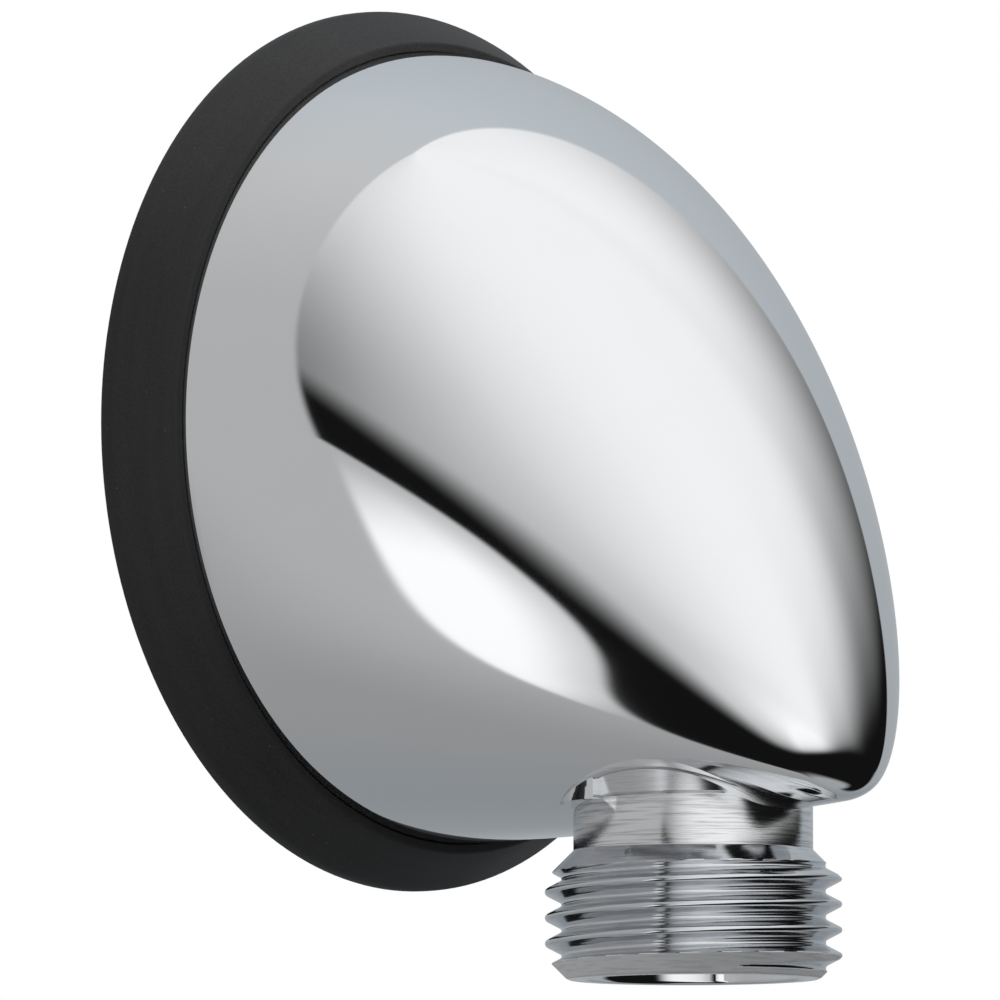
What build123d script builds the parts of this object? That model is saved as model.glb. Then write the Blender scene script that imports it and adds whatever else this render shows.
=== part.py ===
"""Wall supply elbow for a hand shower hose: a hollow off-centre dome on a rubber wall gasket.

The wall is the plane Y = 0 and the elbow stands out towards -Y. The origin is on the inlet axis, +Z is up,
and the part is symmetrical about X = 0.
"""

import math
import os

from build123d import *

# Rubber wall gasket (mm)
GASKET_RADIUS = 31.75
GASKET_TAPER = 2.4
GASKET_LEDGE = 0.7
GASKET_HEIGHT = 5.0
GASKET_BAND = 0.8
SEAT_THICKNESS = 2.0
SEAT_WIDTH = 6.5
RIM_CLEARANCE = 0.15
GASKET_EDGE_ROUND = 0.3

GASKET_FRONT = -GASKET_HEIGHT
GASKET_FRONT_RADIUS = GASKET_RADIUS - GASKET_TAPER
POCKET_RADIUS = GASKET_FRONT_RADIUS - GASKET_LEDGE

# Outside of the dome: its rim fits the gasket's pocket
RIM_RADIUS = POCKET_RADIUS - RIM_CLEARANCE
RIM_BACK = -SEAT_THICKNESS
GASKET_INNER_RADIUS = RIM_RADIUS - SEAT_WIDTH
NOSE_REACH = 39.0
NOSE_LIFT = 3.5
NOSE_HEIGHT = NOSE_LIFT - RIM_RADIUS
TOP_FULLNESS = 0.73
TOP_LEAN = 0.167
UNDERSIDE_RISE = 1.76
NOSE_CORNER = 3.0
NOSE_NARROWING = 0.315
DOME_STEPS = 11

# Hollow back and inlet boss
WALL = 2.8
CAVITY_DEPTH = 20.0
CAVITY_END = -(GASKET_HEIGHT + CAVITY_DEPTH)
CAVITY_STEPS = 5
INLET_BORE_RADIUS = 9.15
INLET_BORE_DEPTH = 16.0
BOSS_WALL = 4.35
BOSS_RADIUS = INLET_BORE_RADIUS + BOSS_WALL
BOSS_MERGE = 1.5

# Waterway and hose nipple: heights run down from the rim's underside
OUTLET_REACH = 27.64
WATERWAY_RADIUS = 6.5
OUTLET_WALL = 3.0
COLLAR_RADIUS = 8.45
COLLAR_LIFT = 1.9
COLLAR_TOP = COLLAR_LIFT - RIM_RADIUS
COLLAR_LENGTH = 3.6
FLARE_LIP = 0.85
FLARE_RADIUS = COLLAR_RADIUS + FLARE_LIP
FLARE_CHAMFER = 1.4
FLARE_LENGTH = 5.2
FLARE_EDGE = COLLAR_TOP + FLARE_CHAMFER
FLARE_ROOT = FLARE_EDGE + FLARE_LENGTH
THREAD_RADIUS = 10.4775
THREAD_TOP = COLLAR_TOP - COLLAR_LENGTH
THREAD_RUN_IN = 1.5
THREAD_LENGTH = 8.8
NIPPLE_END = THREAD_TOP - THREAD_LENGTH
END_CHAMFER = 1.5775
END_RADIUS = THREAD_RADIUS - END_CHAMFER
MOUTH_LIP = 1.4
MOUTH_RADIUS = END_RADIUS - MOUTH_LIP
MOUTH_DEPTH = 10.0


def conic_height(share, fullness, start, corner, end):
    """Height of a conic guide curve that leaves the rim towards corner and meets the nose square on."""
    rest = 1.0 - share
    bulge = math.sqrt((fullness * rest) ** 2 + 2.0 * fullness * rest * share) - fullness * rest
    return start * rest + corner * bulge + end * (share - bulge)


def dome_section(reach):
    """Centre height, half width and half height of the dome's elliptical section at a reach from the rim."""
    share = reach / NOSE_REACH
    top = conic_height(share, TOP_FULLNESS, RIM_RADIUS, RIM_RADIUS - TOP_LEAN * NOSE_REACH, NOSE_HEIGHT)
    into_corner = max(0.0, 1.0 - (NOSE_REACH - reach) / NOSE_CORNER)
    corner_rise = (NOSE_HEIGHT + RIM_RADIUS - UNDERSIDE_RISE) * (1.0 - math.sqrt(1.0 - into_corner**2))
    bottom = -RIM_RADIUS + UNDERSIDE_RISE * share**2 + corner_rise
    half_height = (top - bottom) / 2.0
    return (top + bottom) / 2.0, half_height * (1.0 - NOSE_NARROWING * share), half_height


def section_sketch(reach, inset=0.0):
    """Sketch of the dome's section at a reach from the rim, drawn in by an inset."""
    centre, half_width, half_height = dome_section(reach)
    with BuildSketch(Plane.XZ.offset(GASKET_HEIGHT + reach)) as sketch:
        with Locations((0, centre)):
            Ellipse(half_width - inset, half_height - inset)
    return sketch.sketch


# Outer dome: elliptical sections from the rim to the nose tip, closer together towards the tip
outer_sections = [
    section_sketch(NOSE_REACH * (1.0 - (1.0 - step / DOME_STEPS) ** 2)) for step in range(DOME_STEPS)
]
nose_tip = Vertex(0, -(GASKET_HEIGHT + NOSE_REACH), NOSE_HEIGHT)

# Hollow of the back: the same sections, drawn in by the wall
inner_sections = [
    section_sketch(CAVITY_DEPTH * step / CAVITY_STEPS, WALL) for step in range(CAVITY_STEPS + 1)
]

with BuildPart() as elbow_body:
    loft(outer_sections + [nose_tip])
    with BuildSketch(Plane.XZ.offset(SEAT_THICKNESS)):
        Circle(RIM_RADIUS)
    extrude(amount=GASKET_HEIGHT - SEAT_THICKNESS)
    # Hollow back
    loft(inner_sections, mode=Mode.SUBTRACT)
    with BuildSketch(Plane.XZ.offset(SEAT_THICKNESS)):
        Circle(RIM_RADIUS - WALL)
    extrude(amount=GASKET_HEIGHT - SEAT_THICKNESS, mode=Mode.SUBTRACT)
    # Inlet boss, and the wall of the outlet bore where it passes through the hollow
    with BuildSketch(Plane.XZ):
        Circle(BOSS_RADIUS)
    extrude(amount=BOSS_MERGE - CAVITY_END)
    with BuildSketch(Plane.XY.offset(COLLAR_TOP)):
        with Locations((0, -OUTLET_REACH)):
            Circle(WATERWAY_RADIUS + OUTLET_WALL)
        with Locations((0, CAVITY_END - BOSS_MERGE)):
            Rectangle(
                2 * (WATERWAY_RADIUS + OUTLET_WALL),
                OUTLET_REACH,
                align=(Align.CENTER, Align.MAX),
                mode=Mode.SUBTRACT,
            )
    extrude(amount=-COLLAR_TOP)
    # Hose nipple: flare, collar, threaded length and end chamfer
    with BuildSketch(Plane.YZ):
        with BuildLine():
            Polyline(
                (-OUTLET_REACH, FLARE_ROOT),
                (-OUTLET_REACH - FLARE_RADIUS, FLARE_ROOT),
                (-OUTLET_REACH - FLARE_RADIUS, FLARE_EDGE),
                (-OUTLET_REACH - COLLAR_RADIUS, COLLAR_TOP),
                (-OUTLET_REACH - COLLAR_RADIUS, THREAD_TOP),
                (-OUTLET_REACH - THREAD_RADIUS, THREAD_TOP - THREAD_RUN_IN),
                (-OUTLET_REACH - THREAD_RADIUS, NIPPLE_END + END_CHAMFER),
                (-OUTLET_REACH - END_RADIUS, NIPPLE_END),
                (-OUTLET_REACH, NIPPLE_END),
                close=True,
            )
        make_face()
    revolve(axis=Axis((0, -OUTLET_REACH, 0), (0, 0, 1)))
    # Waterway: threaded inlet, ball-ended elbow and outlet bore
    with BuildSketch(Plane.XZ):
        Circle(INLET_BORE_RADIUS)
    extrude(amount=INLET_BORE_DEPTH, mode=Mode.SUBTRACT)
    with BuildSketch(Plane.XZ):
        Circle(WATERWAY_RADIUS)
    extrude(amount=OUTLET_REACH, mode=Mode.SUBTRACT)
    with Locations((0, -OUTLET_REACH, 0)):
        Sphere(WATERWAY_RADIUS, mode=Mode.SUBTRACT)
        Cylinder(
            WATERWAY_RADIUS,
            -NIPPLE_END,
            align=(Align.CENTER, Align.CENTER, Align.MAX),
            mode=Mode.SUBTRACT,
        )
    with Locations((0, -OUTLET_REACH, NIPPLE_END)):
        Cylinder(
            MOUTH_RADIUS,
            MOUTH_DEPTH,
            align=(Align.CENTER, Align.CENTER, Align.MIN),
            mode=Mode.SUBTRACT,
        )

with BuildPart() as wall_gasket:
    with BuildSketch(Plane.YZ):
        with BuildLine():
            Polyline(
                (0, GASKET_INNER_RADIUS),
                (0, GASKET_RADIUS),
                (-GASKET_BAND, GASKET_RADIUS),
                (GASKET_FRONT, GASKET_FRONT_RADIUS),
                (GASKET_FRONT, POCKET_RADIUS),
                (RIM_BACK, POCKET_RADIUS),
                (RIM_BACK, GASKET_INNER_RADIUS),
                close=True,
            )
        make_face()
    revolve(axis=Axis.Y)
    fillet(
        wall_gasket.edges().filter_by(GeomType.CIRCLE).filter_by(
            lambda edge: abs(edge.radius - GASKET_FRONT_RADIUS) < 1e-6
        ),
        radius=GASKET_EDGE_ROUND,
    )

elbow_body.part.label = "elbow_body"
wall_gasket.part.label = "wall_gasket"

os.makedirs("parts", exist_ok=True)
export_step(elbow_body.part, "parts/elbow_body.step")
export_step(wall_gasket.part, "parts/wall_gasket.step")
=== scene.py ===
"""Dressed model of a chrome wall supply elbow for a hand shower hose, on its rubber wall gasket.

The wall is the plane Y = 0, the elbow stands out towards -Y and +Z is up. Sizes in the classes are in
millimetres and become metres where a mesh is made. Light directions are in degrees: a turn round the part
from straight out of the wall, and a rise above the horizon.
"""

import logging
import math
from collections.abc import Callable
from dataclasses import dataclass
from enum import Enum

import bpy
from mathutils import Matrix, Vector


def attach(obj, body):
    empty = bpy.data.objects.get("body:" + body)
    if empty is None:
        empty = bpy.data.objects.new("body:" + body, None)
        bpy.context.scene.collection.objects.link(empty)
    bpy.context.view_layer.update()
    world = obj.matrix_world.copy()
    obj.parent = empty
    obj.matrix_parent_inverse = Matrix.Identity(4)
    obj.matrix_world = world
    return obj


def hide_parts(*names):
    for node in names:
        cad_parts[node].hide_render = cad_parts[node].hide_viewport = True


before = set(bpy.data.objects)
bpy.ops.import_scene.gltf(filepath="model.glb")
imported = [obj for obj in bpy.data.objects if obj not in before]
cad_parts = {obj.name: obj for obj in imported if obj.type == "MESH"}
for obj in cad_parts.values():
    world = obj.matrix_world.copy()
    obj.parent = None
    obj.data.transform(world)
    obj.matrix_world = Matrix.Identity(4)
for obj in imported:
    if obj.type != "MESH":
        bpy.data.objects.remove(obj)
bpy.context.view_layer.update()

MM = 0.001
TURNS = (-180.0, 180.0)
RISES = (-90.0, 90.0)
SMALLEST_RING = 1e-6
MERGE_DISTANCE = 1e-7
MATCH = 1e-3
Piece = bpy.types.Object
Finish = bpy.types.Material
Spot = tuple[float, float, float]
Colour = tuple[float, float, float]
Span = tuple[float, float]
Points = tuple[Span, ...]
Inputs = dict[str, object]
log = logging.getLogger("wall_elbow")


class Axis(Enum):
    """Direction that a stack of rings grows along."""

    OUTWARD = "Y"
    DOWNWARD = "Z"


class Surface(Enum):
    """Surfaces of the hose nipple, numbered as their finishes are."""

    BORE = 0
    COLLAR = 1
    THREAD = 2
    CHAMFER = 3
    CONE = 4


@dataclass(frozen=True)
class Ring:
    """One ring of a swept shape, in millimetres: its centre and its two half sizes across the axis."""

    centre: Spot
    half_a: float
    half_b: float


def deselect() -> None:
    """Deselects everything, so that an operator acts on the new piece alone."""
    if bpy.context.mode != "OBJECT":
        bpy.ops.object.mode_set(mode="OBJECT")
    bpy.ops.object.select_all(action="DESELECT")


def activate(piece: Piece) -> None:
    """Makes a piece the only selected and the active object.

    Args:
        piece: the piece that operators act on next.
    """
    deselect()
    piece.select_set(True)
    bpy.context.view_layer.objects.active = piece


def scale_ring(axis: Axis, by_a: float, by_b: float, centre: Spot) -> None:
    """Scales the selected ring along X and along the other direction across its axis, about its centre."""
    value = (by_a, 1.0, by_b) if axis is Axis.OUTWARD else (by_a, by_b, 1.0)
    bpy.ops.transform.resize(value=value, center_override=Vector(centre) * MM)


def sweep(name: str, axis: Axis, vertices: int, rings: list[Ring], closed: bool = False) -> Piece:
    """Extrudes a circle ring by ring and closes the shape.

    Args:
        name: name of the new piece.
        axis: direction that the shape grows along.
        vertices: number of vertices in each ring.
        rings: the rings in order; one with no size ends in a point.
        closed: True if the last ring meets the first, as on a hoop; otherwise open ends are filled.

    Returns:
        The new object, in object mode.
    """
    deselect()
    turn = (math.pi / 2, 0.0, 0.0) if axis is Axis.OUTWARD else (0.0, 0.0, 0.0)
    bpy.ops.mesh.primitive_circle_add(vertices=vertices, radius=MM, rotation=turn)
    piece = bpy.context.active_object
    piece.name = name
    piece.data.name = name
    bpy.ops.object.transform_apply(location=True, rotation=True, scale=True)
    bpy.ops.object.mode_set(mode="EDIT")
    bpy.ops.mesh.select_all(action="SELECT")
    scale_ring(axis, rings[0].half_a, rings[0].half_b, (0.0, 0.0, 0.0))
    bpy.ops.transform.translate(value=Vector(rings[0].centre) * MM)
    if not closed:
        bpy.ops.mesh.edge_face_add()
        bpy.ops.mesh.select_all(action="SELECT")
        bpy.ops.mesh.region_to_loop()
    for last, ring in zip(rings, rings[1:]):
        step = (Vector(ring.centre) - Vector(last.centre)) * MM
        bpy.ops.mesh.extrude_edges_move(TRANSFORM_OT_translate={"value": step})
        if ring.half_a < SMALLEST_RING:
            bpy.ops.mesh.merge(type="CENTER")
            break
        scale_ring(axis, ring.half_a / last.half_a, ring.half_b / last.half_b, ring.centre)
    else:
        if not closed:
            bpy.ops.mesh.edge_face_add()
    bpy.ops.mesh.select_all(action="SELECT")
    bpy.ops.mesh.remove_doubles(threshold=MERGE_DISTANCE)
    bpy.ops.mesh.normals_make_consistent(inside=False)
    bpy.ops.object.mode_set(mode="OBJECT")
    return piece


def divide(piece: Piece, place: Callable[[Vector], Span], heights: Span, radii: Span, rows: int) -> None:
    """Divides the edges that run between two heights, and the faces between them, into rows.

    Args:
        piece: the piece that is divided.
        place: tells a spot's height and its distance from the axis.
        heights: heights of the edges' ends.
        radii: least and greatest distance of the edges' first ends from the axis.
        rows: number of rows that each edge becomes.
    """
    activate(piece)
    bpy.ops.object.mode_set(mode="EDIT")
    bpy.ops.mesh.select_mode(type="EDGE")
    bpy.ops.mesh.select_all(action="DESELECT")
    bpy.ops.object.mode_set(mode="OBJECT")
    mesh = piece.data
    for edge in mesh.edges:
        first, last = sorted(place(mesh.vertices[index].co) for index in edge.vertices)
        runs = abs(first[0] - heights[0]) < MATCH and abs(last[0] - heights[1]) < MATCH
        edge.select = runs and radii[0] < first[1] < radii[1]
    bpy.ops.object.mode_set(mode="EDIT")
    bpy.ops.mesh.subdivide(number_cuts=rows - 1)
    bpy.ops.object.mode_set(mode="OBJECT")


def combine(piece: Piece, tool: Piece, operation: str) -> None:
    """Joins or cuts a piece with a tool shape, which is then removed.

    Args:
        piece: the piece that is kept.
        tool: the shape that is joined to it or cut from it.
        operation: UNION or DIFFERENCE.
    """
    activate(piece)
    bpy.ops.object.modifier_add(type="BOOLEAN")
    step = piece.modifiers[-1]
    step.operation = operation
    step.solver = "MANIFOLD"
    step.object = tool
    bpy.ops.object.modifier_apply(modifier=step.name)
    bpy.data.objects.remove(tool)


def fit(piece: Piece, crisp: float, slot: str, *nodes: str) -> None:
    """Shades a dressed piece smooth, rides it on the body and reports it.

    Args:
        piece: the piece.
        crisp: angle in degrees above which its edges stay crisp.
        slot: its material slot; not used.
        nodes: the nodes that it stands for.
    """
    activate(piece)
    bpy.ops.object.shade_smooth_by_angle(angle=math.radians(crisp))
    deselect()
    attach(piece, "root")
    if nodes:
        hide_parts(*nodes)
    log.info("%s: %d faces", piece.name, len(piece.data.polygons))


class Wire:
    """An output of a node, which can be reckoned with like a number."""

    def __init__(self, desk: "NodeDesk", socket: bpy.types.NodeSocket) -> None:
        """Takes an output of one of the desk's nodes."""
        self.desk = desk
        self.socket = socket

    def __add__(self, other: object) -> "Wire":
        """This output plus another."""
        return self.desk.math("ADD", self, other)

    def __sub__(self, other: object) -> "Wire":
        """This output less another."""
        return self.desk.math("SUBTRACT", self, other)

    def __rsub__(self, other: float) -> "Wire":
        """A number less this output."""
        return self.desk.math("SUBTRACT", other, self)

    def __mul__(self, other: object) -> "Wire":
        """This output times another."""
        return self.desk.math("MULTIPLY", self, other)

    def __truediv__(self, other: object) -> "Wire":
        """This output divided by another."""
        return self.desk.math("DIVIDE", self, other)

    def ease(self, low: object, high: object) -> "Wire":
        """A smooth step from 0 where this output is at low to 1 where it is at high."""
        inputs = {"Value": self, "From Min": low, "From Max": high}
        return self.desk.tap("ShaderNodeMapRange", "Result", inputs, interpolation_type="SMOOTHSTEP")


class NodeDesk:
    """Adds and wires the nodes of one tree, left to right."""

    column_width = 180

    def __init__(self, tree: bpy.types.NodeTree) -> None:
        """Starts on an empty tree.

        Args:
            tree: the tree, whose nodes are cleared away.
        """
        self.tree = tree
        tree.nodes.clear()
        self.column = 0

    def add(self, kind: str, inputs: Inputs | None = None, **settings: object) -> bpy.types.Node:
        """Adds a node.

        Args:
            kind: the node's type name.
            inputs: outputs or plain values for its sockets, by their names.
            settings: attributes of the node.

        Returns:
            The new node.
        """
        node = self.tree.nodes.new(kind)
        node.location = (self.column * self.column_width, 0)
        self.column += 1
        for key, value in settings.items():
            setattr(node, key, value)
        for name, value in (inputs or {}).items():
            self.put(node.inputs[name], value)
        return node

    def tap(self, kind: str, output: str, inputs: Inputs | None = None, **settings: object) -> Wire:
        """Adds a node and takes one of its outputs by name."""
        return Wire(self, self.add(kind, inputs, **settings).outputs[output])

    def put(self, socket: bpy.types.NodeSocket, value: object) -> None:
        """Wires an output to a socket, or sets the socket to a plain value.

        Args:
            socket: the socket.
            value: an output or a plain value.
        """
        if isinstance(value, Wire):
            self.tree.links.new(value.socket, socket)
        else:
            socket.default_value = value

    def math(self, operation: str, *values: object, clamp: bool = False) -> Wire:
        """Adds a math node on the given values or outputs.

        Args:
            operation: the node's operation.
            values: outputs or numbers for its inputs.
            clamp: True to hold the result between 0 and 1.

        Returns:
            The result's output.
        """
        node = self.add("ShaderNodeMath", operation=operation, use_clamp=clamp)
        for socket, value in zip(node.inputs, values):
            self.put(socket, value)
        return Wire(self, node.outputs[0])

    def parts(self, coordinates: str) -> list[Wire]:
        """The three parts of one of the coordinates that the tree can read."""
        node = self.add("ShaderNodeSeparateXYZ", {"Vector": self.tap("ShaderNodeTexCoord", coordinates)})
        return [Wire(self, part) for part in node.outputs]

    def curve(self, value: Wire, span: Span, points: Points, reach: Span = (0.0, 1.0)) -> Wire:
        """Adds a curve of one quantity against another, through listed points.

        Args:
            value: the output along the curve.
            span: lowest and highest value along the curve.
            points: the curve's points in real units.
            reach: lowest and highest value that the curve takes.

        Returns:
            The curve's output in real units.
        """
        wide, tall = span[1] - span[0], reach[1] - reach[0]
        node = self.add("ShaderNodeFloatCurve")
        line = node.mapping.curves[0]
        placed = [((along - span[0]) / wide, (height - reach[0]) / tall) for along, height in points]
        line.points[0].location = placed[0]
        line.points[-1].location = placed[-1]
        for spot in placed[1:-1]:
            line.points.new(*spot)
        for point in line.points:
            point.handle_type = "AUTO_CLAMPED"
        node.mapping.update()
        self.put(node.inputs["Value"], self.math("DIVIDE", value - span[0], wide, clamp=True))
        return Wire(self, node.outputs[0]) * tall + reach[0]

    def noise(self, place: Wire, scale: float, detail: float, roughness: float = 0.5) -> Wire:
        """Adds a cloudy noise.

        Args:
            place: coordinates of the noise.
            scale: number of clouds to a unit of the coordinates.
            detail: how many finer layers it has.
            roughness: strength of the finer layers.

        Returns:
            The noise's output, about 0.5 on average.
        """
        inputs = {"Vector": place, "Scale": scale, "Detail": detail, "Roughness": roughness}
        return self.tap("ShaderNodeTexNoise", "Fac", inputs)

    def mix(self, share: Wire, low: object, high: object) -> Wire:
        """Mixes two colours, from low where the share is 0 to high where it is 1."""
        inputs = {"Factor": share, "A": low, "B": high}
        return self.tap("ShaderNodeMix", "Result", inputs, data_type="RGBA")

    def bump(self, height: Wire, strength: float, depth: float) -> Wire:
        """Turns a height into a bumped normal, for a depth in millimetres."""
        inputs = {"Height": height, "Strength": strength, "Distance": depth * MM}
        return self.tap("ShaderNodeBump", "Normal", inputs)

    def shade(self, shader: str, output: str, inputs: Inputs) -> None:
        """Ends the tree with a shader, whose sockets take the inputs, and an output node."""
        self.add(output, {"Surface": Wire(self, self.add(shader, inputs).outputs[0])})


class Coat(NodeDesk):
    """The nodes of a new material, with the place on the piece."""

    def __init__(self, name: str) -> None:
        """Starts an empty material of that name.

        Args:
            name: name of the material.
        """
        self.material = bpy.data.materials.new(name)
        self.material.use_nodes = True
        super().__init__(self.material.node_tree)
        self.place = self.tap("ShaderNodeTexCoord", "Object")

    def done(self, inputs: Inputs) -> Finish:
        """Ends the material with a principled shader whose sockets take the inputs."""
        self.shade("ShaderNodeBsdfPrincipled", "ShaderNodeOutputMaterial", inputs)
        return self.material


def tone(colour: Colour, factor: float = 1.0) -> tuple[float, float, float, float]:
    """A colour made darker or lighter by a factor, ready for a socket."""
    return (*[channel * factor for channel in colour], 1.0)


@dataclass(frozen=True)
class MirrorChrome:
    """Mirror polished chrome plate."""

    name: str = "mirror_chrome"
    colour: Colour = (0.80, 0.81, 0.82)
    dull_tone: float = 0.985
    roughness: float = 0.025
    roughness_swing: float = 0.02
    cloud_scale: float = 260.0
    cloud_detail: float = 3.0

    def build(self) -> Finish:
        """Makes the material: a clean mirror with a faint unevenness of the polish.

        Returns:
            The material.
        """
        coat = Coat(self.name)
        cloud = coat.noise(coat.place, self.cloud_scale, self.cloud_detail)
        return coat.done({
            "Metallic": 1.0,
            "Base Color": coat.mix(cloud, tone(self.colour, self.dull_tone), tone(self.colour)),
            "Roughness": cloud * self.roughness_swing + self.roughness,
        })


@dataclass(frozen=True)
class TurnedChrome:
    """Chrome over a turned face, with fine lines round the nipple's axis and painted shade in their
    grooves.
    """

    name: str = "turned_chrome"
    colour: Colour = (0.78, 0.79, 0.80)
    roughness: float = 0.12
    roughness_swing: float = 0.08
    line_pitch: float = 0.16
    line_length: float = 6.0
    line_detail: float = 4.0
    line_roughness: float = 0.7
    depth: float = 0.013
    # Painted shade: how dark the base colour is made in the lines' grooves.
    groove_shade_tone: float = 0.62
    groove_shade_span: Span = (0.34, 0.56)
    stretch: float = 0.7
    stretch_turn: float = 0.25

    def build(self) -> Finish:
        """Makes the material: a mirror with lines of uneven length and depth along each turn, darkened in
        the grooves as painted shade.

        Returns:
            The material.
        """
        coat = Coat(self.name)
        along = 1.0 / (self.line_length * MM)
        scale = (along, along, 1.0 / (self.line_pitch * MM))
        spread = coat.tap("ShaderNodeMapping", "Vector", {"Scale": scale, "Vector": coat.place})
        lines = coat.noise(spread, 1.0, self.line_detail, self.line_roughness)
        # Painted shade: the base colour is darkened where the lines' grooves are deep.
        groove = lines.ease(*self.groove_shade_span)
        return coat.done({
            "Metallic": 1.0,
            "Anisotropic": self.stretch,
            "Anisotropic Rotation": self.stretch_turn,
            "Tangent": coat.tap("ShaderNodeTangent", "Tangent", direction_type="RADIAL", axis="Z"),
            "Base Color": coat.mix(groove, tone(self.colour, self.groove_shade_tone), tone(self.colour)),
            "Roughness": lines * self.roughness_swing + self.roughness,
            "Normal": coat.bump(lines, 1.0, self.depth),
        })


@dataclass(frozen=True)
class MouldedRubber:
    """Matte black moulded rubber with a fine grain, faint mould rings, pale dust specks and painted light
    that makes its upper side paler.
    """

    name: str = "moulded_rubber"
    colour: Colour = (0.0165, 0.0165, 0.017)
    contrast: float = 0.95
    roughness: float = 0.5
    roughness_swing: float = 0.2
    gloss: float = 0.3
    grain_size: float = 0.16
    grain_detail: float = 3.0
    grain_depth: float = 0.02
    grain_strength: float = 0.5
    grain_share: float = 0.5
    cloud_scale: float = 140.0
    cloud_detail: float = 4.0
    cloud_share: float = 0.2
    ring_pitch: float = 0.55
    ring_length: float = 14.0
    ring_detail: float = 2.0
    ring_share: float = 0.3
    # Painted light: the paler colour that the upper side is mixed towards.
    painted_top_light: Colour = (0.085, 0.085, 0.087)
    painted_top_light_span: Span = (8.0, 32.0)
    speck: Colour = (0.12, 0.12, 0.12)
    speck_size: float = 0.5
    speck_edge: Span = (0.14, 0.06)
    speck_draw: float = 7.3
    speck_chance: Span = (0.93, 0.97)
    speck_share: float = 0.6

    def rings(self, coat: Coat, x: Wire, z: Wire) -> Wire:
        """Faint uneven rings round the gasket's axis.

        Args:
            coat: the material's nodes.
            x: place across the gasket.
            z: place up the gasket.

        Returns:
            The rings' output.
        """
        out = coat.math("SQRT", x * x + z * z)
        length = self.ring_length * MM
        inputs = {"X": out / (self.ring_pitch * MM), "Y": x / length, "Z": z / length}
        return coat.noise(coat.tap("ShaderNodeCombineXYZ", "Vector", inputs), 1.0, self.ring_detail)

    def dust(self, coat: Coat) -> Wire:
        """Small round specks, on a few places drawn by lot.

        Args:
            coat: the material's nodes.

        Returns:
            1 on a speck and 0 beside it.
        """
        inputs = {"Scale": 1.0 / (self.speck_size * MM), "Vector": coat.place}
        node = coat.add("ShaderNodeTexVoronoi", inputs)
        away, colour = (Wire(coat, node.outputs[name]) for name in ("Distance", "Color"))
        lot = coat.math("FRACT", colour * self.speck_draw)
        return away.ease(*self.speck_edge) * lot.ease(*self.speck_chance)

    def build(self) -> Finish:
        """Makes the material: grain in the bump, clouds and rings in the tone, painted light on the upper
        side, and a few pale specks.

        Returns:
            The material.
        """
        coat = Coat(self.name)
        grain = coat.noise(coat.place, 1.0 / (self.grain_size * MM), self.grain_detail)
        cloud = coat.noise(coat.place, self.cloud_scale, self.cloud_detail)
        x, _, z = coat.parts("Object")
        mixed = grain * self.grain_share + cloud * self.cloud_share
        mixed = mixed + self.rings(coat, x, z) * self.ring_share
        deep, pale = (tone(self.colour, 1.0 + swing) for swing in (-self.contrast, self.contrast))
        # Painted light: the base colour turns paler towards the top, in a grainy pattern.
        low, high = self.painted_top_light_span
        haze = z.ease(low * MM, high * MM) * (grain * cloud)
        top_lit_colour = coat.mix(haze, coat.mix(mixed, deep, pale), tone(self.painted_top_light))
        return coat.done({
            "Specular IOR Level": self.gloss,
            "Base Color": coat.mix(self.dust(coat) * self.speck_share, top_lit_colour, tone(self.speck)),
            "Roughness": cloud * self.roughness_swing + self.roughness,
            "Normal": coat.bump(grain, self.grain_strength, self.grain_depth),
        })


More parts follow.
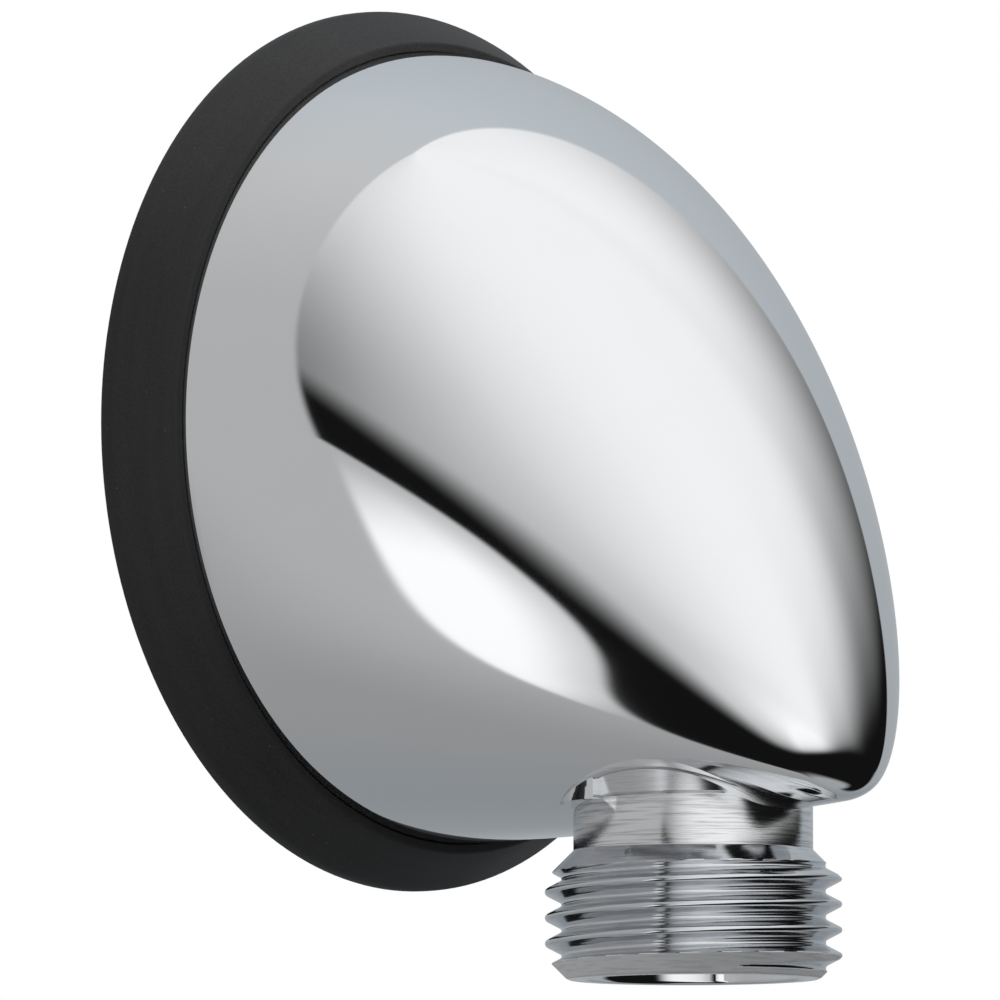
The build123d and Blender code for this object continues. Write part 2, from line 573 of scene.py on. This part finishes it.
@dataclass
class ElbowDome:
    """The cast body: off-centre dome, hollow back, inlet boss and waterway."""

    rim_radius: float = 28.5
    rim_back: float = 2.0
    gasket_height: float = 5.0
    nose_reach: float = 39.0
    nose_height: float = -25.0
    top_fullness: float = 0.73
    top_lean: float = 0.167
    underside_rise: float = 1.76
    nose_corner: float = 3.0
    nose_narrowing: float = 0.315
    wall: float = 2.8
    cavity_depth: float = 20.0
    boss_radius: float = 13.5
    boss_end: float = 26.5
    sleeve_radius: float = 10.6
    sleeve_start: float = -1.0
    inlet_depth: float = 16.0
    outlet_reach: float = 27.64
    outlet_end: float = -32.0
    outlet_wall: float = 3.0
    outlet_wall_foot: float = -26.6
    waterway_radius: float = 6.5
    waterway_start: float = 10.0
    vertices: int = 192
    outer_rings: int = 120
    inner_rings: int = 16
    rod_vertices: int = 96
    ball_segments: int = 64
    ball_rings: int = 32
    crisp_angle: float = 35.0

    def conic_height(self, share: float) -> float:
        """Height of the dome's top line.

        Args:
            share: share of the way from the rim to the nose.

        Returns:
            The height.
        """
        rest = 1.0 - share
        lift = self.top_fullness * rest
        bulge = math.sqrt(lift**2 + 2.0 * lift * share) - lift
        corner = self.rim_radius - self.top_lean * self.nose_reach
        return self.rim_radius * rest + corner * bulge + self.nose_height * (share - bulge)

    def section(self, reach: float, inset: float = 0.0) -> Ring:
        """Ring of the dome's section.

        Args:
            reach: distance from the rim.
            inset: how far the ring is drawn in, for the hollow.

        Returns:
            The ring.
        """
        share = reach / self.nose_reach
        top = self.conic_height(share)
        into = max(0.0, 1.0 - (self.nose_reach - reach) / self.nose_corner)
        rise = self.nose_height + self.rim_radius - self.underside_rise
        corner = rise * (1.0 - math.sqrt(1.0 - into**2))
        bottom = -self.rim_radius + self.underside_rise * share**2 + corner
        half = (top - bottom) / 2.0
        across = half * (1.0 - self.nose_narrowing * share)
        centre = (0.0, -(self.gasket_height + reach), (top + bottom) / 2.0)
        return Ring(centre, across - inset, half - inset)

    def underside(self, x: float, y: float) -> float:
        """Height of the dome's underside at a spot in plan."""
        ring = self.section(-y - self.gasket_height)
        return ring.centre[2] - ring.half_b * math.sqrt(1.0 - (x / ring.half_a) ** 2)

    def shell_rings(self) -> list[Ring]:
        """Rings from the end of the hollow, round the rim and out to the nose.

        Returns:
            The rings in order.
        """
        rings = [self.section(self.cavity_depth * (1.0 - step / self.inner_rings), self.wall)
                 for step in range(self.inner_rings + 1)]
        back = (0.0, -self.rim_back, 0.0)
        inner = self.rim_radius - self.wall
        rings += [Ring(back, inner, inner), Ring(back, self.rim_radius, self.rim_radius)]
        for step in range(self.outer_rings):
            rings.append(self.section(self.nose_reach * (1.0 - (1.0 - step / self.outer_rings) ** 2)))
        rings.append(Ring((0.0, -(self.gasket_height + self.nose_reach), self.nose_height), 0.0, 0.0))
        return rings

    def rod(self, name: str, radius: float, start: float, end: float) -> Piece:
        """A round rod along the inlet axis between two distances from the wall."""
        rings = [Ring((0.0, -away, 0.0), radius, radius) for away in (start, end)]
        return sweep(name, Axis.OUTWARD, self.rod_vertices, rings)

    def drop(self, name: str, radius: float, top: float, bottom: float) -> Piece:
        """A round rod along the outlet axis between two heights."""
        rings = [Ring((0.0, -self.outlet_reach, height), radius, radius) for height in (top, bottom)]
        return sweep(name, Axis.DOWNWARD, self.rod_vertices, rings)

    def outlet_wall_block(self) -> Piece:
        """The wall of the outlet bore where it passes the end of the hollow, cut off flat at its front.

        Returns:
            The shape to join to the body.
        """
        radius = self.waterway_radius + self.outlet_wall
        block = self.drop("outlet_wall", radius, 0.0, self.outlet_wall_foot)
        activate(block)
        bpy.ops.object.mode_set(mode="EDIT")
        bpy.ops.mesh.select_all(action="SELECT")
        bpy.ops.mesh.bisect(plane_co=(0.0, -self.boss_end * MM, 0.0), plane_no=(0.0, -1.0, 0.0),
                            use_fill=True, clear_outer=True)
        bpy.ops.object.mode_set(mode="OBJECT")
        return block

    def ball(self) -> Piece:
        """The round corner of the waterway.

        Returns:
            The shape to cut from the body.
        """
        deselect()
        bpy.ops.mesh.primitive_uv_sphere_add(segments=self.ball_segments, ring_count=self.ball_rings,
                                             radius=self.waterway_radius * MM,
                                             location=(0.0, -self.outlet_reach * MM, 0.0))
        ball = bpy.context.active_object
        bpy.ops.object.transform_apply(location=True, rotation=True, scale=True)
        return ball

    def build(self, chrome: Finish) -> None:
        """Builds and dresses the body.

        Args:
            chrome: the body's finish.
        """
        dome = sweep("elbow_dome", Axis.OUTWARD, self.vertices, self.shell_rings())
        combine(dome, self.rod("boss", self.boss_radius, 0.0, self.boss_end), "UNION")
        combine(dome, self.outlet_wall_block(), "UNION")
        sleeve = self.rod("sleeve_bore", self.sleeve_radius, self.sleeve_start, self.inlet_depth)
        combine(dome, sleeve, "DIFFERENCE")
        waterway = self.rod("waterway", self.waterway_radius, self.waterway_start, self.outlet_reach)
        combine(dome, waterway, "DIFFERENCE")
        combine(dome, self.ball(), "DIFFERENCE")
        combine(dome, self.drop("outlet", self.waterway_radius, 0.0, self.outlet_end), "DIFFERENCE")
        dome.data.materials.clear()
        dome.data.materials.append(chrome)
        fit(dome, self.crisp_angle, "chrome_plate", "elbow_body")


@dataclass
class HoseNipple:
    """The turned hose nipple: root lip, cone, brushed collar, hose thread and bore."""

    reach: float = 27.64
    root: float = -20.0
    lip_radius: float = 9.3
    lip_swell: float = 0.25
    cone_foot_radius: float = 8.6
    cone_top_radius: float = 8.92
    cone_least: float = 0.25
    cone_seat: float = 0.1
    cone_skin: float = 0.1
    collar_radius: float = 8.45
    collar_top: float = -26.2
    collar_dip: float = 1.2
    collar_skin: float = 0.02
    groove_depth: float = 0.05
    groove_height: float = 0.08
    thread_top: float = -29.9
    crest_radius: float = 10.4775
    core_radius: float = 9.3155
    pitch: float = 1.814
    flank_angle: float = 27.5
    round_share: float = 0.1373
    start_turn: float = 0.46
    end: float = -39.0
    end_radius: float = 8.9
    end_edge: float = 0.12
    chamfer_height: float = 1.6
    chamfer_skin: float = 0.06
    mouth_radius: float = 7.5
    mouth_depth: float = 10.0
    bore_radius: float = 6.5
    bore_wall: float = 0.5
    bore_skin: float = 0.1
    saddle_span: Span = (-0.15, 1.5)
    vertices: int = 240
    thread_rows: int = 84
    crisp_angle: float = 70.0

    def place(self, spot: Vector) -> Span:
        """Height of a spot and its distance from the outlet axis, in millimetres."""
        return spot.z / MM, math.hypot(spot.x, spot.y + self.reach * MM) / MM

    @property
    def thread_middle(self) -> float:
        """Height half way up the threaded length."""
        return (self.end + self.thread_top) / 2.0

    def rings(self) -> list[Ring]:
        """Profile from the top of the bore, over the end face, up the thread and collar to the root.

        Returns:
            The rings in order.
        """
        edge = self.end_edge
        bore_top = self.end + self.mouth_depth
        groove = self.collar_radius - self.groove_depth
        profile = [
            (self.bore_radius, self.root),
            (self.bore_radius, bore_top),
            (self.mouth_radius, bore_top),
            (self.mouth_radius, self.end + 2 * edge),
            (self.mouth_radius + 0.5 * edge, self.end + 0.6 * edge),
            (self.mouth_radius + 2 * edge, self.end),
            (self.end_radius - edge, self.end),
            (self.end_radius - 0.3 * edge, self.end + 0.3 * edge),
            (self.end_radius, self.end + edge),
            (self.core_radius, self.thread_middle),
            (self.core_radius, self.thread_top),
            (self.collar_radius, self.thread_top + 0.02),
            (self.collar_radius, self.collar_top - 0.1),
            (groove, self.collar_top - 0.06),
            (groove, self.collar_top - 0.02),
            (self.cone_foot_radius, self.collar_top),
        ]
        profile += self.root_profile()
        return [Ring((0.0, -self.reach, height), radius, radius) for radius, height in profile]

    def root_profile(self) -> list[Span]:
        """Profile of the cone, the groove and the lip; its heights are shares that the saddle stretches.

        Returns:
            Radius and height of each point.
        """
        top, lip, swell = self.cone_top_radius, self.lip_radius, self.lip_swell
        shares = [
            (self.cone_foot_radius + 0.01, 0.02),
            (top - 0.03, 0.68),
            (top, 0.72),
            (top + 0.02, 0.84),
            (top + 0.1, 0.86),
            (lip - 0.22, 0.80),
            (lip - 0.12, 0.745),
            (lip - 0.02, 0.73),
            (lip + 0.1, 0.755),
            (lip + 0.19, 0.82),
            (lip + 0.24, 0.92),
            (lip + swell, 1.2),
        ]
        profile = [(radius, self.collar_top + share) for radius, share in shares]
        return profile + [(lip + swell, self.root), (self.bore_radius, self.root)]

    def saddle(self, piece: Piece, dome: ElbowDome) -> None:
        """Stretches the cone and the lip up to the dome's underside, which is higher at the sides.

        Args:
            piece: the nipple.
            dome: the body that the nipple grows out of.
        """
        low, high = self.saddle_span
        inner = self.collar_radius - 2 * self.groove_depth
        for vertex in piece.data.vertices:
            height, out = self.place(vertex.co)
            share = height - self.collar_top
            if not low < share < high or out < inner:
                continue
            turn = math.atan2(vertex.co.y + self.reach * MM, vertex.co.x)
            foot = self.collar_top - self.collar_dip * max(0.0, math.sin(turn))
            x, y = self.lip_radius * math.cos(turn), self.lip_radius * math.sin(turn) - self.reach
            cone = max(self.cone_least, dome.underside(x, y) + self.cone_seat - foot)
            vertex.co.z = (foot + (share * cone if share > MATCH else share)) * MM

    def thread_radius(self, angle: float, height: float) -> float:
        """Radius of the threaded length.

        Args:
            angle: angle round the axis, in radians.
            height: height of the point.

        Returns:
            The radius there, with the run-out at the top and the chamfer at the end.
        """
        turn = (height - self.end) / self.pitch - angle / (2.0 * math.pi) + self.start_turn
        apart = abs((turn % 1.0) - 0.5) * self.pitch
        bend = self.round_share * self.pitch
        lean = math.radians(self.flank_angle)
        depth = self.crest_radius - self.core_radius
        ends = bend * math.cos(lean)
        fall = bend * (1.0 - math.sin(lean))
        if apart < ends:
            cut = bend - math.sqrt(bend**2 - apart**2)
        elif apart < self.pitch / 2.0 - ends:
            cut = fall + (apart - ends) / math.tan(lean)
        else:
            cut = depth - bend + math.sqrt(bend**2 - (self.pitch / 2.0 - apart) ** 2)
        radius = self.crest_radius - cut
        radius = min(radius, self.collar_radius + max(0.0, self.thread_top - height))
        return min(radius, self.end_radius + height - self.end)

    def cut_thread(self, piece: Piece) -> None:
        """Divides the threaded length into fine rows and cuts the thread into them.

        Args:
            piece: the nipple.
        """
        inner = self.mouth_radius + self.bore_wall
        low, middle, high = self.end + self.end_edge, self.thread_middle, self.thread_top
        for heights in ((low, middle), (middle, high)):
            divide(piece, self.place, heights, (inner, self.crest_radius), self.thread_rows)
        axis = -self.reach * MM
        for vertex in piece.data.vertices:
            height, out = self.place(vertex.co)
            if low - MATCH < height < high + MATCH and out > inner:
                angle = math.atan2(vertex.co.y - axis, vertex.co.x)
                radius = self.thread_radius(angle, height) * MM
                vertex.co.x = radius * math.cos(angle)
                vertex.co.y = axis + radius * math.sin(angle)

    def surface(self, height: float, out: float) -> Surface:
        """Surface that a face belongs to.

        Args:
            height: height of the face.
            out: distance of the face from the axis.

        Returns:
            The surface.
        """
        chamfer = self.end_radius + height - self.end - self.chamfer_skin
        if out < self.mouth_radius + self.bore_skin:
            return Surface.BORE
        if height < self.end + self.chamfer_height and out > chamfer:
            return Surface.CHAMFER
        if height <= self.thread_top:
            return Surface.THREAD
        if out < self.collar_radius + self.collar_skin and height < self.collar_top - self.groove_height:
            return Surface.COLLAR
        if height > self.collar_top - self.collar_dip - self.cone_skin:
            return Surface.CONE
        return Surface.BORE

    def build(self, dome: ElbowDome, finishes: dict[Surface, Finish]) -> None:
        """Builds the nipple and gives each of its surfaces a finish.

        Args:
            dome: the body that the nipple grows out of.
            finishes: the finish of each surface.
        """
        nipple = sweep("hose_nipple", Axis.DOWNWARD, self.vertices, self.rings(), closed=True)
        self.saddle(nipple, dome)
        self.cut_thread(nipple)
        for surface in Surface:
            nipple.data.materials.append(finishes[surface])
        for face in nipple.data.polygons:
            face.material_index = self.surface(*self.place(face.center)).value
        fit(nipple, self.crisp_angle, "chrome_plate")


@dataclass
class InletThread:
    """The tapered pipe thread inside the inlet boss."""

    radius: float = 10.7
    crest_radius: float = 9.15
    depth: float = 1.1
    pitch: float = 1.814
    flank_slope: float = 2.6
    root_share: float = 0.15
    lead_in: float = 1.2
    length: float = 16.0
    margin: float = 0.01
    vertices: int = 128
    rows: int = 96
    crisp_angle: float = 70.0

    def place(self, spot: Vector) -> Span:
        """Depth of a spot from the wall and its distance from the inlet axis, in millimetres."""
        return -spot.y / MM, math.hypot(spot.x, spot.z) / MM

    def build(self, chrome: Finish) -> None:
        """Builds and dresses the threaded sleeve.

        Args:
            chrome: finish of the thread.
        """
        root, outer = self.crest_radius + self.depth, self.radius
        spots = [(outer, 0.0), (outer, self.length), (root, self.length), (root, 0.0), (outer, 0.0)]
        rings = [Ring((0.0, -deep, 0.0), out, out) for out, deep in spots]
        sleeve = sweep("inlet_thread", Axis.OUTWARD, self.vertices, rings, closed=True)
        radii = (root - self.margin, root + self.margin)
        divide(sleeve, self.place, (0.0, self.length), radii, self.rows)
        for vertex in sleeve.data.vertices:
            deep, out = self.place(vertex.co)
            inside = self.margin < deep < self.length - self.margin
            if not inside or not radii[0] < out < radii[1]:
                continue
            turn = deep / self.pitch - math.atan2(vertex.co.z, vertex.co.x) / (2.0 * math.pi)
            ridge = abs((turn % 1.0) - 0.5) * self.flank_slope - self.root_share
            ridge = min(1.0, max(0.0, ridge)) * min(1.0, deep / self.lead_in)
            scale = (root - self.depth * ridge) / out
            vertex.co.x *= scale
            vertex.co.z *= scale
        sleeve.data.materials.append(chrome)
        fit(sleeve, self.crisp_angle, "chrome_plate")


@dataclass
class WallGasket:
    """The tapered rubber ring between the elbow and the wall."""

    radius: float = 31.75
    front_radius: float = 29.35
    height: float = 5.0
    band: float = 0.8
    band_round: float = 1.2
    band_drop: float = 0.1
    pocket_radius: float = 28.65
    pocket_start: float = 0.5
    lip_radius: float = 28.53
    lip_edge: float = 0.06
    lip_depth: float = 0.3
    seat: float = 2.0
    inner_radius: float = 22.0
    edge: float = 0.3
    front_pull: float = 1.1
    back_steps: int = 3
    band_steps: int = 4
    front_steps: int = 5
    vertices: int = 192
    crisp_angle: float = 40.0

    def profile(self) -> list[Span]:
        """Radius and height round the ring's section, with rounded edges.

        Returns:
            The points in order.
        """
        lean = math.atan2(self.radius - self.front_radius, self.height - self.band)
        profile = [(self.inner_radius, 0.0), (self.radius - self.edge, 0.0)]
        for step in range(1, self.back_steps + 1):
            turn = math.pi / 2 * step / self.back_steps
            profile.append((self.radius - self.edge * (1 - math.sin(turn)),
                            self.edge * (1 - math.cos(turn))))
        for step in range(self.band_steps + 1):
            turn = lean * step / self.band_steps
            profile.append((self.radius - self.band_round * (1 - math.cos(turn)),
                            self.band + self.band_round * math.sin(turn) - self.band_drop))
        for step in range(self.front_steps + 1):
            turn = lean + (math.pi / 2 - lean) * step / self.front_steps
            profile.append((self.front_radius - self.edge * (self.front_pull - math.cos(turn)),
                            self.height - self.edge * (1 - math.sin(turn))))
        return profile + [
            (self.lip_radius + self.lip_edge, self.height),
            (self.lip_radius, self.height - self.lip_edge),
            (self.lip_radius, self.height - self.lip_depth),
            (self.pocket_radius, self.height - self.pocket_start),
            (self.pocket_radius, self.seat),
            (self.inner_radius, self.seat),
            (self.inner_radius, 0.0),
        ]

    def build(self, rubber: Finish) -> None:
        """Builds and dresses the gasket.

        Args:
            rubber: the gasket's finish.
        """
        rings = [Ring((0.0, -height, 0.0), radius, radius) for radius, height in self.profile()]
        gasket = sweep("wall_gasket_ring", Axis.OUTWARD, self.vertices, rings, closed=True)
        gasket.data.materials.append(rubber)
        fit(gasket, self.crisp_angle, "black_rubber", "wall_gasket")


class Sky(NodeDesk):
    """The world's nodes, with the direction that light comes from."""

    def __init__(self, tree: bpy.types.NodeTree) -> None:
        """Starts an empty tree with the direction, its turn and its rise.

        Args:
            tree: the world's tree.
        """
        super().__init__(tree)
        self.x, self.y, z = self.parts("Generated")
        self.turn = self.math("DEGREES", self.math("ARCTAN2", self.x, self.y * -1.0))
        self.rise = self.math("DEGREES", self.math("ARCSINE", z))


@dataclass(frozen=True)
class Bow:
    """The turn of an edge at each rise: two half parabolas that meet at a middle."""

    top: float
    middle: float
    below: float
    over: float
    end: float = RISES[1]

    def line(self, sky: Sky) -> Wire:
        """Draws the edge, straight up from its end.

        Args:
            sky: the world's nodes.

        Returns:
            The edge's turn.
        """
        under = sky.math("MINIMUM", sky.rise - self.middle, 0.0)
        upper = sky.math("MAXIMUM", sky.math("MINIMUM", sky.rise, self.end) - self.middle, 0.0)
        return under * under * self.below + self.top + upper * upper * self.over


@dataclass(frozen=True)
class DarkBoards:
    """The dark boards that frame the soft box, by the turns of their outer edges."""

    left: Bow = Bow(top=-74.2, middle=-11.5, below=-0.0136, over=-0.024, end=5.5)
    left_blur: float = 0.5
    right_points: Points = (
        (-90, 110), (-65, 108), (-55, 103), (-50, 95), (-45, 83), (-40, 76), (-30, 67), (-20, 64.5),
        (-5, 65.5), (0, 67), (5, 73.3), (10, 78.5), (15, 82), (20, 86.5), (25, 89.5), (35, 91.5),
        (45, 94.5), (55, 97.5), (75, 102), (90, 105),
    )
    right_blur: float = 1.2
    right_haze: float = 8.0
    haze_span: Span = (4.0, -12.0)
    foot_span: Span = (-80.0, -70.0)

    def inside(self, sky: Sky, left: Wire) -> Wire:
        """What lies between the boards' outer edges.

        Args:
            sky: the world's nodes.
            left: turn of the left board's outer edge.

        Returns:
            1 between the edges and 0 beyond them.
        """
        right = sky.curve(sky.rise, RISES, self.right_points, TURNS)
        haze = sky.rise.ease(*self.haze_span) * self.right_haze + self.right_blur
        within = sky.turn.ease(left - self.left_blur, left + self.left_blur)
        within = within * sky.turn.ease(right + haze, right - haze)
        return within * sky.rise.ease(*self.foot_span)


@dataclass(frozen=True)
class SoftBox:
    """The large soft box in front, which fades out towards its lower edge and its left side."""

    white: float = 1.09
    black: float = 0.007
    foot_rise: float = -23.0
    foot_swing: float = 35.5
    foot_turn: float = -19.5
    foot_width: float = 48.5
    foot_round: float = 3.0
    foot_lift: float = 4.0
    lift_span: Span = (60.0, 90.0)
    fade: float = 3.0
    front_fade: float = 9.0
    front_span: Span = (-34.0, 4.0)
    right_fade: float = 10.0
    right_span: Span = (18.0, 52.0)
    slow_fade: float = 42.0
    slow_round: float = 0.6
    slow_span: Span = (34.0, 54.0)
    ramp_points: Points = (
        (-180, 0.15), (-88, 0.16), (-80, 0.25), (-72, 0.43), (-64, 0.63), (-56, 0.81), (-48, 0.907),
        (-36, 0.978), (-20, 1.0), (50, 1.0), (75, 0.93), (100, 0.84), (180, 0.8),
    )
    ramp_reach: Span = (0.0, 1.2)
    ramp_limit: float = 1.1
    low_gain: float = 0.35
    low_span: Span = (-10.0, -38.0)
    high_gain: float = -0.78
    high_span: Span = (20.0, 82.0)
    side: Bow = Bow(top=-71.0, middle=-8.0, below=-0.005, over=-0.015)
    side_blur: Span = (2.0, 5.0)

    def lit(self, sky: Sky) -> Wire:
        """How far the box has brightened above its lower edge, quickly in front and slowly on the right.

        Args:
            sky: the world's nodes.

        Returns:
            0 below the edge, and 1 where the box is brightest.
        """
        swing = sky.math("TANH", (sky.turn - self.foot_turn) / self.foot_width)
        foot = swing * self.foot_swing + self.foot_rise + sky.turn.ease(*self.lift_span) * self.foot_lift
        above = sky.math("SMOOTH_MAX", sky.rise - foot, 0.0, self.foot_round)
        fade = sky.turn.ease(*self.front_span) * self.front_fade + self.fade
        fade = fade + sky.turn.ease(*self.right_span) * self.right_fade
        quick = 1.0 - sky.math("EXPONENT", above / (fade * -1.0))
        slow = sky.math("SMOOTH_MIN", above / self.slow_fade, 1.0, self.slow_round)
        far = sky.turn.ease(*self.slow_span)
        return quick * (1.0 - far) + slow * far

    def level(self, sky: Sky) -> Wire:
        """Brightness of the box.

        Args:
            sky: the world's nodes.

        Returns:
            The brightness.
        """
        ramp = sky.curve(sky.turn, TURNS, self.ramp_points, self.ramp_reach)
        ramp = ramp * (sky.rise.ease(*self.low_span) * self.low_gain + 1.0)
        dim = 1.0 - sky.math("MINIMUM", ramp, self.ramp_limit)
        ramp = 1.0 - dim * (sky.rise.ease(*self.high_span) * self.high_gain + 1.0)
        side = self.side.line(sky)
        clear = sky.turn.ease(side - self.side_blur[0], side + self.side_blur[1])
        return self.lit(sky) * ramp * clear * (self.white - self.black) + self.black


@dataclass(frozen=True)
class GreyWalls:
    """The grey walls at the sides and behind, with a bright strip beside the left board."""

    left_points: Points = (
        (-90, 0.42), (-60, 0.45), (-40, 0.51), (35, 0.53), (60, 0.6), (75, 0.65), (90, 0.66),
    )
    right_points: Points = (
        (-90, 0.42), (-55, 0.41), (-20, 0.44), (5, 0.46), (25, 0.53), (35, 0.57), (55, 0.62), (75, 0.66),
        (90, 0.66),
    )
    strip: float = 1.23
    grey: float = 0.516
    strip_turn: float = -80.7
    strip_lean: float = 0.1
    strip_bend: float = -0.0053
    strip_blur: float = 0.5
    strip_front: Span = (0.0, -20.0)
    strip_top: Span = (6.0, -20.0)
    strip_foot: Span = (-60.0, -48.0)
    strip_dim: float = 0.36
    strip_dim_width: float = 4.6
    back_span: Span = (0.02, 0.35)
    back_low: Span = (0.0, -25.0)
    back_shade: float = -0.2

    def glow(self, sky: Sky, left: Wire) -> Wire:
        """The bright strip, dimmer towards the board beside it.

        Args:
            sky: the world's nodes.
            left: turn of the left board's outer edge.

        Returns:
            1 where the strip is brightest and 0 beyond it.
        """
        strip = sky.rise * self.strip_lean + self.strip_turn + sky.rise * sky.rise * self.strip_bend
        glow = sky.turn.ease(strip - self.strip_blur, strip + self.strip_blur)
        glow = glow * sky.turn.ease(*self.strip_front)
        glow = glow * sky.rise.ease(*self.strip_top) * sky.rise.ease(*self.strip_foot)
        across = sky.turn.ease(left, left - self.strip_dim_width)
        return glow * (across * (1.0 - self.strip_dim) + self.strip_dim)

    def level(self, sky: Sky, left: Wire, on_right: Wire) -> Wire:
        """Brightness of the walls.

        Args:
            sky: the world's nodes.
            left: turn of the left board's outer edge.
            on_right: 0 on the left of the part and 1 on its right.

        Returns:
            The brightness.
        """
        left_wall = sky.curve(sky.rise, RISES, self.left_points)
        right_wall = sky.curve(sky.rise, RISES, self.right_points)
        walls = left_wall * (1.0 - on_right) + right_wall * on_right
        walls = walls + self.glow(sky, left) * (self.strip - self.grey)
        behind = sky.y.ease(*self.back_span) * sky.rise.ease(*self.back_low)
        return walls * (behind * self.back_shade + 1.0)


@dataclass
class Studio:
    """Camera, floor and the soft studio light round the part."""

    azimuth: float = -49.06
    elevation: float = -4.90
    roll: float = -0.16
    place: Spot = (-680.5, -600.0, -81.3)
    lens: float = 454.75
    sensor: float = 36.0
    clip: Span = (0.05, 20.0)
    floor_height: float = -0.16
    floor_size: float = 6.0
    floor_colour: Colour = (0.86, 0.86, 0.86)
    floor_roughness: float = 0.9
    backdrop: float = 1.0
    side_span: Span = (-0.35, 0.45)
    plain: Colour = (1.0, 1.0, 1.0)
    left_tint: Colour = (0.988, 0.989, 0.998)
    right_tint: Colour = (0.92, 0.99, 1.04)
    boards: DarkBoards = DarkBoards()
    box: SoftBox = SoftBox()
    walls: GreyWalls = GreyWalls()

    def camera(self) -> None:
        """Sets the camera at the photograph's angle."""
        turn, rise, roll = (math.radians(angle) for angle in (self.azimuth, self.elevation, self.roll))
        back = Vector((math.sin(turn) * math.cos(rise), -math.cos(turn) * math.cos(rise), math.sin(rise)))
        level = Vector((math.cos(turn), math.sin(turn), 0.0))
        upright = back.cross(level)
        right = level * math.cos(roll) + upright * math.sin(roll)
        up = upright * math.cos(roll) - level * math.sin(roll)
        data = bpy.data.cameras.new("camera")
        data.lens = self.lens
        data.sensor_width = self.sensor
        data.clip_start, data.clip_end = self.clip
        camera = bpy.data.objects.new("camera", data)
        bpy.context.scene.collection.objects.link(camera)
        turned = Matrix((right, up, back)).transposed().to_4x4()
        camera.matrix_world = Matrix.Translation(Vector(self.place) * MM) @ turned
        bpy.context.scene.camera = camera

    def floor(self) -> None:
        """Lays a plain pale floor below the part."""
        deselect()
        bpy.ops.mesh.primitive_plane_add(size=self.floor_size, location=(0.0, 0.0, self.floor_height))
        floor = bpy.context.active_object
        floor.name = "floor"
        floor.visible_glossy = False
        looks = {"Base Color": tone(self.floor_colour), "Roughness": self.floor_roughness}
        floor.data.materials.append(Coat("pale_floor").done(looks))
        deselect()

    def light(self) -> None:
        """Lights the part with one large soft box in front, dark boards round it, and grey walls."""
        scene = bpy.context.scene
        scene.world = bpy.data.worlds.new("studio")
        scene.world.use_nodes = True
        sky = Sky(scene.world.node_tree)
        left = self.boards.left.line(sky)
        inside = self.boards.inside(sky, left)
        on_right = sky.x.ease(*self.side_span)
        walls = self.walls.level(sky, left, on_right)
        level = walls * (1.0 - inside) + self.box.level(sky) * inside
        seen = sky.tap("ShaderNodeLightPath", "Is Camera Ray")
        cool = (1.0 - inside) * (1.0 - seen)
        tint = sky.mix(on_right, tone(self.left_tint), tone(self.right_tint))
        sky.shade("ShaderNodeBackground", "ShaderNodeOutputWorld", {
            "Color": sky.mix(cool, tone(self.plain), tint),
            "Strength": level * (1.0 - seen) + seen * self.backdrop,
        })
        scene.view_settings.view_transform = "Standard"
        scene.view_settings.look = "None"


def main() -> None:
    """Builds the part and the studio."""
    logging.basicConfig(level=logging.INFO, format="%(name)s: %(message)s")
    chrome = MirrorChrome().build()
    cut = TurnedChrome(name="thread_chrome", colour=(0.66, 0.675, 0.695), roughness=0.06, line_pitch=0.12,
                       line_length=2.5, depth=0.003, groove_shade_tone=0.85, stretch=0.0)
    # Painted light: the chamfer's chrome is made near white, lighter than the rest of the plating, to
    # brighten the end chamfer; its high roughness is the chamfer's own finish.
    painted_light_chamfer = TurnedChrome(name="faced_chrome_painted_light", colour=(0.97, 0.975, 0.985), roughness=0.85,
                         roughness_swing=0.1, line_length=3.0, depth=0.004, groove_shade_tone=0.88, stretch=0.0)
    soft = TurnedChrome(name="soft_chrome", colour=(0.66, 0.67, 0.685), roughness=0.2, line_length=3.0,
                        depth=0.002, groove_shade_tone=0.9, stretch=0.0)
    finishes = {Surface.BORE: chrome, Surface.COLLAR: TurnedChrome().build(), Surface.THREAD: cut.build(),
                Surface.CHAMFER: painted_light_chamfer.build(), Surface.CONE: soft.build()}
    dome = ElbowDome()
    dome.build(chrome)
    HoseNipple().build(dome, finishes)
    InletThread().build(chrome)
    WallGasket().build(MouldedRubber().build())
    studio = Studio()
    studio.camera()
    studio.floor()
    studio.light()


if __name__ == "__main__":
    main()
